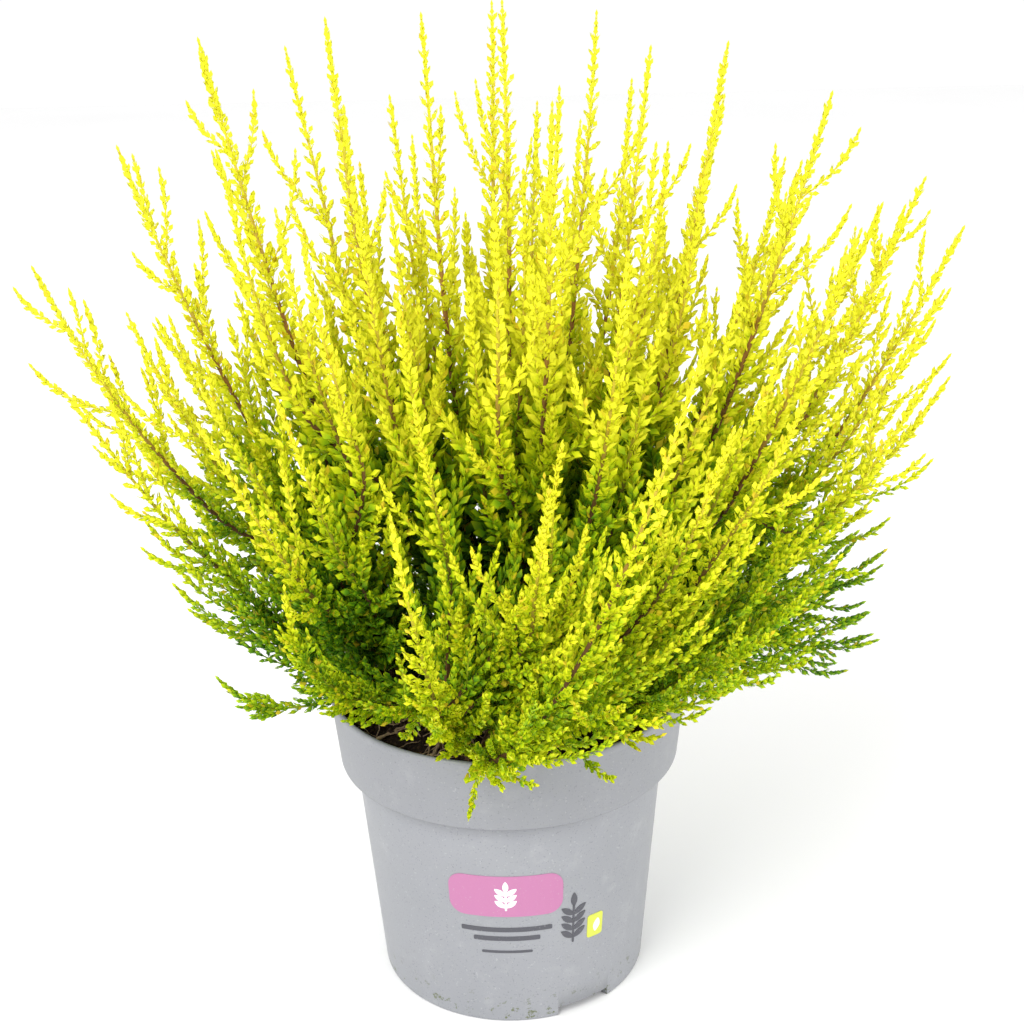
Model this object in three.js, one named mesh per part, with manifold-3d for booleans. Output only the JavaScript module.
// Yellow-leaved bud heather in a round nursery pot. Millimetres, +Z up.
// The origin is on the surface that the pot stands on, on the pot's axis. The front of the plant faces -Y.
import * as THREE from "three";
import { mergeVertices } from "three/addons/utils/BufferGeometryUtils.js";
import Module from "manifold-3d";

// Driving dimensions
const POT = {
  rimRadius: 60, height: 106, lip: 1.8, wall: 1.2, baseRadius: 46, bodyTopRadius: 52.5, sides: 64,
};
const BAND = { height: 25, footRadius: 57.5, slope: 2.5 }; // the wider band below the rim, sloped inside
const FOOT = { height: 3.5, width: 3.2, notchWidth: 20, notchDepth: 16, notchAzimuths: [-59, 121] };
const FLOOR = { thickness: 1.4, holeRadius: 4, holeCircle: 32, holes: 6 };
const GAP = 0.3; // free play between pieces that touch
const COMPOST = { top: 96, dome: 2.5, shoulder: 34, dip: 5, sides: 48 };
const CROWN = { radius: 9, height: 97.5, waist: 5.6, rings: [-15, 10, 35, 60, 80], sides: 16 };
const TWIG = { radius: 0.7, sides: 6, rings: 6 };
const STEM = { footRadius: 1.5, endRadius: 1.0, sides: 5, rings: 7 };
const LEAFY = {
  start: 0.24, // the share of a branch that is bare stem
  baseRadius: 4.4, tipRadius: 1.3, pointRadius: 0.6, least: 0.7, taper: 0.8,
  startShare: 0.4, leaderSwell: 6, swell: 2, // a shoot starts thin and swells to its full radius
  leaderSides: 6, leaderRings: 13, sides: 4, rings: 7,
};
const SETTLE = 0.3; // the share of a branch in which it turns from its foot on the crown to its own way
// Where side shoots leave the leader, and how fast they part.
const FORK = { first: 0.04, spread: 0.3, scatter: 0.618, blend: 0.45 };
// The elbow of a shoot, where it turns from outwards to upwards: how far out it is, and how high above the crown.
const ELBOW = { out: 0.6, perRise: 0.12, perReach: 0.07, lowTip: 160, lowLift: 20, perDrop: 0.2 };
const SAMPLES = 60; // points along each shoot at which its distance from the others is measured
const STEP = 0.01; // the share of a way over which its direction is measured
const STEEP = 0.9; // the upward part of a direction from which it counts as upright
const DEGREE = Math.PI / 180;
const GOLDEN_ANGLE = 137.508 * DEGREE;

// The branches stand in three rings. Leans are degrees from upright: of the branch, and of its foot on the crown.
const RINGS = [
  { lean: 13, footLean: 18, count: 5 },
  { lean: 33, footLean: 44, count: 8 },
  { lean: 62, footLean: 70, count: 11 },
];

// The shoots that stand out along the outline and in front: where each one ends and, where it arches over the
// rim, the points that pull it out of its way.
const SHOOTS = [
  { tip: [-144, 0, 249] }, { tip: [-115, 10, 283] }, { tip: [-89, 20, 314] }, { tip: [-79, -20, 279] },
  { tip: [-65, 40, 309] }, { tip: [-49, 0, 320] }, { tip: [-39, -45, 278] }, { tip: [-30, -27, 270] },
  { tip: [-29, 70, 277] }, { tip: [-21, 15, 320] }, { tip: [0, 60, 321] }, { tip: [4, 20, 323] },
  { tip: [9, -25, 278] }, { tip: [19, -20, 301] }, { tip: [33, 35, 318] }, { tip: [48, 75, 294] },
  { tip: [48, 15, 309] }, { tip: [52, -10, 283] }, { tip: [62, -20, 277] }, { tip: [71, 10, 310] },
  { tip: [96, 45, 270] }, { tip: [94, 5, 275] }, { tip: [98, -12, 297] }, { tip: [128, 45, 255] },
  { tip: [132, 25, 257] }, { tip: [130, 0, 270] }, { tip: [133, -18, 239] }, { tip: [146, 10, 253] },
  { tip: [-61, -45, 272] }, { tip: [-111, -20, 238] }, { tip: [67, -60, 251] }, { tip: [77, -60, 230] },
  { tip: [60, -100, 224] }, { tip: [-87, -40, 156] }, { tip: [-13, -90, 172] }, { tip: [1, -95, 179] },
  { tip: [22, -95, 196] }, { tip: [46, -85, 195] }, { tip: [91, -55, 181] }, { tip: [91, -60, 162] },
  { tip: [-60, -70, 225] }, { tip: [-84, -50, 224] }, { tip: [127, 20, 130] }, { tip: [113, 10, 104] },
  { tip: [-18, 121, 236] }, { tip: [36, 118, 205] }, { tip: [12, -119, 216] },
  { tip: [32, -111, 152] },
  { tip: [55, -90, 247], pulls: [[-24, -70, 112], [-2, -100, 104], [24, -98, 150]] },
  { tip: [-28, -105, 204], pulls: [[-22, -62, 120], [-18, -98, 118]] },
  { tip: [-62, -75, 172], pulls: [[-32, -48, 120], [-58, -72, 122]] },
  { tip: [-91, -30, 122], pulls: [[-40, -26, 126], [-76, -36, 100]] },
  { tip: [45, -66, 118], pulls: [[22, -40, 122], [40, -66, 112]] },
];
// Tips between the chosen ones: a sunflower spread over the round top, and a skirt of low ones all round.
const DOME = { top: 318, fall: 0.0031, alongX: 142, alongY: 117, tips: 90, sink: 6, sinkSpread: 66 };
const SKIRT = { middle: 8, reach: 74, spread: 34, height: 124, rise: 56, tips: 34 };
const CROWDED = { base: 3.6, perDegree: 0.07 }; // tips nearer than this, in degrees as the crown sees them, are one
// Dry twigs that lie on the compost: compass direction and distance of each end from the axis.
const TWIGS = [
  [[-138, 25], [-122, 52]], [[-152, 51], [-146, 27]], [[-112, 24], [-118, 50]],
];

const wasm = await Module();
wasm.setup();

const finish = {
  pot: { color: 0xb4b7bd, roughness: 0.55, metalness: 0 },
  compost: { color: 0x2a1d14, roughness: 0.95, metalness: 0 },
  wood: { color: 0x9a6a3c, roughness: 0.8, metalness: 0 },
  leaves: { color: 0xb9c916, roughness: 0.6, metalness: 0 },
};

const group = new THREE.Group();

function add(name, geometry, look) {
  const mesh = new THREE.Mesh(geometry, new THREE.MeshStandardMaterial(look));
  mesh.name = name;
  group.add(mesh);
}

const twoDigits = (n) => String(n).padStart(2, "0");

function toSolid(geometry) {
  const flat = geometry.index ? geometry.toNonIndexed() : geometry;
  const bare = new THREE.BufferGeometry().setAttribute("position", flat.getAttribute("position"));
  const merged = mergeVertices(bare, 1e-4);
  const mesh = new wasm.Mesh({
    numProp: 3,
    vertProperties: merged.attributes.position.array,
    triVerts: new Uint32Array(merged.index.array),
  });
  return new wasm.Manifold(mesh);
}

function toGeometry(solid) {
  const { numVert, numProp, vertProperties, triVerts } = solid.getMesh();
  const positions = new Float32Array(numVert * 3);
  for (let i = 0; i < numVert; i += 1) {
    positions.set(vertProperties.subarray(i * numProp, i * numProp + 3), i * 3);
  }
  const geometry = new THREE.BufferGeometry();
  geometry.setAttribute("position", new THREE.BufferAttribute(positions, 3));
  geometry.setIndex(new THREE.BufferAttribute(new Uint32Array(triVerts), 1));
  geometry.computeVertexNormals();
  return geometry;
}

// A solid of revolution about +Z. The outline lists radius and height, from the foot of the axis to its top.
function turned(outline, sides) {
  const points = outline.map(([radius, height]) => new THREE.Vector2(radius, height));
  return new THREE.LatheGeometry(points, sides).rotateX(Math.PI / 2);
}

// The middle of each ring of a bent bar, with two directions square to its way that turn as little as possible.
function ringFrames(way, from, to, rings) {
  const frames = [];
  let across = new THREE.Vector3(0, 0, 1);
  for (let i = 0; i < rings; i += 1) {
    const t = from + ((to - from) * i) / (rings - 1);
    const along = way(t + STEP).sub(way(t - STEP)).normalize();
    if (i === 0 && Math.abs(along.z) > STEEP) across = new THREE.Vector3(1, 0, 0);
    across = across.clone().addScaledVector(along, -across.dot(along)).normalize();
    frames.push({ t, centre: way(t), across, upward: new THREE.Vector3().crossVectors(across, along) });
  }
  return frames;
}

// A round bar along a way, from share `from` to share `to` of it: a turned spindle, bent.
function bentBar(way, from, to, radiusAt, sides, rings) {
  const outline = [new THREE.Vector2(0, 0)];
  for (let i = 0; i < rings; i += 1) outline.push(new THREE.Vector2(1, i));
  outline.push(new THREE.Vector2(0, rings - 1));
  const geometry = new THREE.LatheGeometry(outline, sides);
  const position = geometry.getAttribute("position");
  const frames = ringFrames(way, from, to, rings);
  for (let i = 0; i < position.count; i += 1) {
    const { t, centre, across, upward } = frames[Math.round(position.getY(i))];
    const place = centre.clone();
    place.addScaledVector(across, position.getX(i) * radiusAt(t));
    place.addScaledVector(upward, position.getZ(i) * radiusAt(t));
    position.setXYZ(i, place.x, place.y, place.z);
  }
  return geometry;
}

const bandFoot = POT.height - BAND.height;
const floorTop = FOOT.height + FLOOR.thickness;
// The inside of the pot's wall, from the floor to the mouth: radius and height.
const lining = [
  [POT.baseRadius - POT.wall, floorTop],
  [POT.bodyTopRadius - POT.wall, bandFoot + POT.wall],
  [BAND.footRadius - POT.wall, bandFoot + POT.wall + BAND.slope],
  [POT.rimRadius - POT.lip, POT.height],
];

function liningRadius(height) {
  const upper = lining.findIndex(([, top], i) => i > 0 && height <= top);
  const [[r0, z0], [r1, z1]] = [lining[upper - 1], lining[upper]];
  return r0 + ((r1 - r0) * (height - z0)) / (z1 - z0);
}

// Pot: a thin wall with a band below the rim, a raised floor with drain holes and a notched foot ring.
function potGeometry() {
  const footInner = POT.baseRadius - FOOT.width;
  const outline = [
    [0, FOOT.height], [footInner, FOOT.height], [footInner, 0], [POT.baseRadius, 0],
    [POT.bodyTopRadius, bandFoot], [BAND.footRadius, bandFoot],
    [POT.rimRadius, POT.height - 1], [POT.rimRadius - 0.3, POT.height],
    ...lining.toReversed(), [0, floorTop],
  ];
  let solid = toSolid(turned(outline, POT.sides));
  for (const azimuth of FOOT.notchAzimuths) {
    const cutter = new THREE.BoxGeometry(FOOT.notchDepth, FOOT.notchWidth, FOOT.height * 2);
    cutter.translate(POT.baseRadius, 0, 0).rotateZ(azimuth * DEGREE);
    solid = solid.subtract(toSolid(cutter));
  }
  for (let i = 0; i < FLOOR.holes; i += 1) {
    const cutter = new THREE.CylinderGeometry(FLOOR.holeRadius, FLOOR.holeRadius, floorTop * 2, 12);
    cutter.rotateX(Math.PI / 2).translate(FLOOR.holeCircle, 0, floorTop).rotateZ((i * 2 * Math.PI) / FLOOR.holes);
    solid = solid.subtract(toSolid(cutter));
  }
  return toGeometry(solid);
}

// Compost: it fills the pot and rises a little to a dip in the middle, in which the crown sits.
function compostGeometry() {
  const play = GAP + 0.15; // flat facets lie a little inside their circle
  const edge = COMPOST.top - 3;
  const outline = [
    [0, floorTop + GAP],
    ...lining.slice(0, 3).map(([radius, height]) => [radius - play, height + GAP]),
    [liningRadius(edge) - play, edge],
    [liningRadius(COMPOST.top) - play - 2, COMPOST.top],
    [COMPOST.shoulder, COMPOST.top + COMPOST.dome / 2],
    [CROWN.radius + GAP, COMPOST.top + COMPOST.dome],
    [CROWN.radius + GAP, COMPOST.top - COMPOST.dip],
    [0, COMPOST.top - COMPOST.dip],
  ];
  return toGeometry(toSolid(turned(outline, COMPOST.sides)));
}

// Crown: the woody collar that the stems grow from.
function crownGeometry() {
  const bottom = COMPOST.top - COMPOST.dip + GAP;
  const outline = [[0, bottom], [CROWN.waist, bottom]];
  for (const degrees of CROWN.rings) {
    const angle = degrees * DEGREE;
    outline.push([CROWN.radius * Math.cos(angle), CROWN.height + CROWN.radius * Math.sin(angle)]);
  }
  outline.push([0, CROWN.height + CROWN.radius]);
  return toGeometry(toSolid(turned(outline, CROWN.sides)));
}

// The height of the compost's top at a distance from the axis, outside the dip.
function compostHeight(reach) {
  const edge = liningRadius(COMPOST.top) - 2;
  const inner = COMPOST.top + COMPOST.dome / 2;
  if (reach > COMPOST.shoulder) {
    return inner - ((COMPOST.dome / 2) * (reach - COMPOST.shoulder)) / (edge - COMPOST.shoulder);
  }
  return inner + ((COMPOST.dome / 2) * (COMPOST.shoulder - reach)) / (COMPOST.shoulder - CROWN.radius);
}

function twigGeometry(ends) {
  const [start, end] = ends.map(([azimuth, reach]) => {
    const angle = azimuth * DEGREE;
    return new THREE.Vector3(reach * Math.cos(angle), reach * Math.sin(angle), 0);
  });
  const way = (t) => {
    const point = start.clone().lerp(end, t);
    point.z = compostHeight(Math.hypot(point.x, point.y)) + TWIG.radius + GAP;
    return point;
  };
  return bentBar(way, 0, 1, () => TWIG.radius, TWIG.sides, TWIG.rings);
}

// A repeatable number between 0 and 1 for each whole number.
function chance(n) {
  const wave = Math.abs(Math.sin(n * 12.9898 + 4.1414)) * 4375.5453;
  return wave - Math.floor(wave);
}

const heart = new THREE.Vector3(0, 0, CROWN.height); // the middle of the crown, from which the shoots spread

function ease(x) {
  const share = THREE.MathUtils.clamp(x, 0, 1);
  return share * share * (3 - 2 * share);
}

// A smooth curve from the first point to the last that is pulled towards those between.
function curve(points, t) {
  let level = points;
  while (level.length > 1) {
    level = level.slice(1).map((point, i) => level[i].clone().lerp(point, t));
  }
  return level[0].clone();
}

// A shoot's own way from the heart to its tip: outwards first, then up.
function ownWay({ tip, pulls }) {
  const end = new THREE.Vector3(...tip);
  const highLift = ELBOW.perRise * (end.z - heart.z) + ELBOW.perReach * Math.hypot(end.x, end.y);
  const lowLift = ELBOW.lowLift + ELBOW.perDrop * (ELBOW.lowTip - end.z);
  const lift = end.z < ELBOW.lowTip ? lowLift : highLift;
  const between = pulls ?? [[ELBOW.out * end.x, ELBOW.out * end.y, heart.z + lift]];
  const points = [heart, ...between.map((pull) => new THREE.Vector3(...pull)), end];
  return (t) => curve(points, t);
}

// The direction of a tip as the crown sees it: degrees from upright, on a flat disc.
function discPoint([x, y, z]) {
  const reach = Math.hypot(x, y);
  const lean = Math.atan2(reach, z - heart.z) / DEGREE;
  return new THREE.Vector2((x / reach) * lean, (y / reach) * lean);
}

function fillTips() {
  const tips = [];
  for (let i = 0; i < DOME.tips; i += 1) {
    const angle = i * GOLDEN_ANGLE;
    const share = Math.sqrt((i + 0.5) / DOME.tips);
    const x = DOME.alongX * share * Math.cos(angle);
    const y = DOME.alongY * share * Math.sin(angle);
    tips.push([x, y, DOME.top - DOME.fall * (x * x + y * y) - DOME.sink - DOME.sinkSpread * chance(i + 1)]);
  }
  for (let i = 0; i < SKIRT.tips; i += 1) {
    const angle = ((i + 0.35 * chance(i + 101)) * 2 * Math.PI) / SKIRT.tips;
    const reach = SKIRT.reach + SKIRT.spread * chance(i + 201);
    const x = SKIRT.middle + reach * Math.cos(angle);
    tips.push([x, reach * Math.sin(angle), SKIRT.height + SKIRT.rise * chance(i + 301)]);
  }
  return tips;
}

// All shoots, the chosen ones first, without the fill tips that would crowd another.
function allShoots() {
  const shoots = SHOOTS.map((shoot) => ({ ...shoot, chosen: true, disc: discPoint(shoot.tip) }));
  for (const tip of fillTips()) {
    const disc = discPoint(tip);
    const room = CROWDED.base + CROWDED.perDegree * disc.length();
    if (shoots.every((other) => other.disc.distanceTo(disc) > room)) shoots.push({ tip, disc, chosen: false });
  }
  return shoots;
}

// Each shoot belongs to the branch whose direction is nearest. The leader is the shoot that arches over the rim,
// or else the one nearest the branch's direction.
function branches() {
  const found = [];
  RINGS.forEach(({ lean, footLean, count }, ring) => {
    for (let i = 0; i < count; i += 1) {
      const angle = ((i + 0.5 * (ring % 2)) * 2 * Math.PI) / count + 0.2 * ring;
      const middle = new THREE.Vector2(lean * Math.cos(angle), lean * Math.sin(angle));
      const level = Math.sin(footLean * DEGREE);
      const foot = new THREE.Vector3(
        level * Math.cos(angle), level * Math.sin(angle), Math.cos(footLean * DEGREE),
      );
      found.push({ middle, foot, shoots: [] });
    }
  });
  for (const shoot of allShoots()) {
    const away = (branch) => branch.middle.distanceTo(shoot.disc);
    found.reduce((best, branch) => (away(branch) < away(best) ? branch : best)).shoots.push(shoot);
  }
  for (const { middle, shoots } of found) {
    const rank = (shoot) => (shoot.pulls ? -1 : 1) * shoot.disc.distanceTo(middle);
    shoots.sort((a, b) => rank(a) - rank(b));
  }
  return found;
}

function samplesAlong(way, from) {
  return Array.from({ length: SAMPLES + 1 }, (_, i) => {
    const t = from + ((1 - from) * i) / SAMPLES;
    return Object.assign(way(t), { t });
  });
}

// The ways of a branch's shoots. The leader leaves the crown at its foot; each side shoot forks from the leader.
function grow({ foot, shoots }) {
  const own = ownWay(shoots[0]);
  const length = own(1).distanceTo(heart);
  const leader = (t) => heart.clone().addScaledVector(foot, length * t).lerp(own(t), ease(t / SETTLE));
  return shoots.map((shoot, i) => {
    if (i === 0) return { way: leader, start: LEAFY.start, samples: samplesAlong(leader, 0), kept: true };
    const start = LEAFY.start + FORK.first + FORK.spread * ((i * FORK.scatter) % 1);
    const side = ownWay(shoot);
    const way = (t) => leader(t).lerp(side(t), ease((t - start) / (FORK.blend * (1 - start))));
    return { way, start, samples: samplesAlong(way, start), kept: shoot.chosen };
  });
}

function closest(samples, others) {
  let nearest = Infinity;
  for (const sample of samples) {
    for (const other of others) nearest = Math.min(nearest, sample.distanceTo(other));
  }
  return nearest;
}

// The plan of the plant: a list of branches, each a list of ways. A fill shoot is left out where it would run
// into another branch.
function plantPlan() {
  const plan = branches().map(grow);
  const least = 2 * LEAFY.least + 2 * GAP;
  for (const branch of plan) {
    const others = plan.filter((other) => other !== branch);
    for (const shoot of branch.filter(({ kept }) => !kept)) {
      const near = others.flat().filter(({ kept }) => kept).flatMap(({ samples }) => samples);
      shoot.kept = closest(shoot.samples.slice(SAMPLES / 6), near) > least;
    }
  }
  return plan.map((branch) => branch.filter(({ kept }) => kept));
}

// The thickest that a shoot can be at a point: halfway to the next branch, and short of the pot and the compost.
function roomAt(point, others) {
  const reach = Math.hypot(point.x, point.y);
  const toRim = Math.hypot(Math.max(0, reach - POT.rimRadius), Math.max(0, point.z - POT.height));
  const toCompost = reach < POT.rimRadius ? point.z - COMPOST.top - COMPOST.dome : Infinity;
  return Math.min(closest([point], others) / 2, toRim, toCompost) - 1.5 * GAP;
}

// How thick a shoot is along its way. Where it is close to another branch, it is thin up to the next rings as well.
function leafyRadius({ samples, start }, others, isLeader, rings) {
  const rooms = samples.map((sample) => ({ t: sample.t, room: roomAt(sample, others) }));
  const ringStep = (1 - start) / (rings - 1);
  return (t) => {
    const share = (t - start) / (1 - start);
    const swell = Math.min(1, LEAFY.startShare + share * (isLeader ? LEAFY.leaderSwell : LEAFY.swell));
    const nominal = LEAFY.tipRadius + (LEAFY.baseRadius - LEAFY.tipRadius) * (1 - share) ** LEAFY.taper;
    const wanted = share > 0.98 ? LEAFY.pointRadius : nominal * swell;
    const near = rooms.filter((spot) => Math.abs(spot.t - t) < ringStep);
    const room = Math.min(...near.map((spot) => spot.room));
    return Math.max(Math.min(wanted, LEAFY.least), Math.min(wanted, room));
  };
}

function stemGeometry(leader) {
  let bare = 0;
  while (leader(bare).distanceTo(heart) < CROWN.radius + GAP) bare += 0.001;
  const speed = leader(LEAFY.start).distanceTo(leader(LEAFY.start - STEP)) / STEP;
  const end = LEAFY.start - (1.5 * GAP) / speed;
  const radiusAt = (t) => THREE.MathUtils.mapLinear(t, bare, end, STEM.footRadius, STEM.endRadius);
  return bentBar(leader, bare, end, radiusAt, STEM.sides, STEM.rings);
}

// Foliage: the leafy shoots of one branch, grown together.
function foliageGeometry(branch, others) {
  const shoots = branch.map((shoot, i) => {
    const [sides, rings] = i === 0 ? [LEAFY.leaderSides, LEAFY.leaderRings] : [LEAFY.sides, LEAFY.rings];
    return toSolid(bentBar(shoot.way, shoot.start, 1, leafyRadius(shoot, others, i === 0, rings), sides, rings));
  });
  return toGeometry(shoots.reduce((sum, shoot) => sum.add(shoot)));
}

add("pot", potGeometry(), finish.pot);
add("compost", compostGeometry(), finish.compost);
TWIGS.forEach((ends, i) => add("dry_twig_" + twoDigits(i + 1), twigGeometry(ends), finish.wood));
add("crown", crownGeometry(), finish.wood);
const plan = plantPlan();
plan.forEach((branch, i) => {
  const others = plan.filter((other) => other !== branch).flat().flatMap(({ samples }) => samples);
  add("stem_" + twoDigits(i + 1), stemGeometry(branch[0].way), finish.wood);
  add("foliage_" + twoDigits(i + 1), foliageGeometry(branch, others), finish.leaves);
});

export default group;
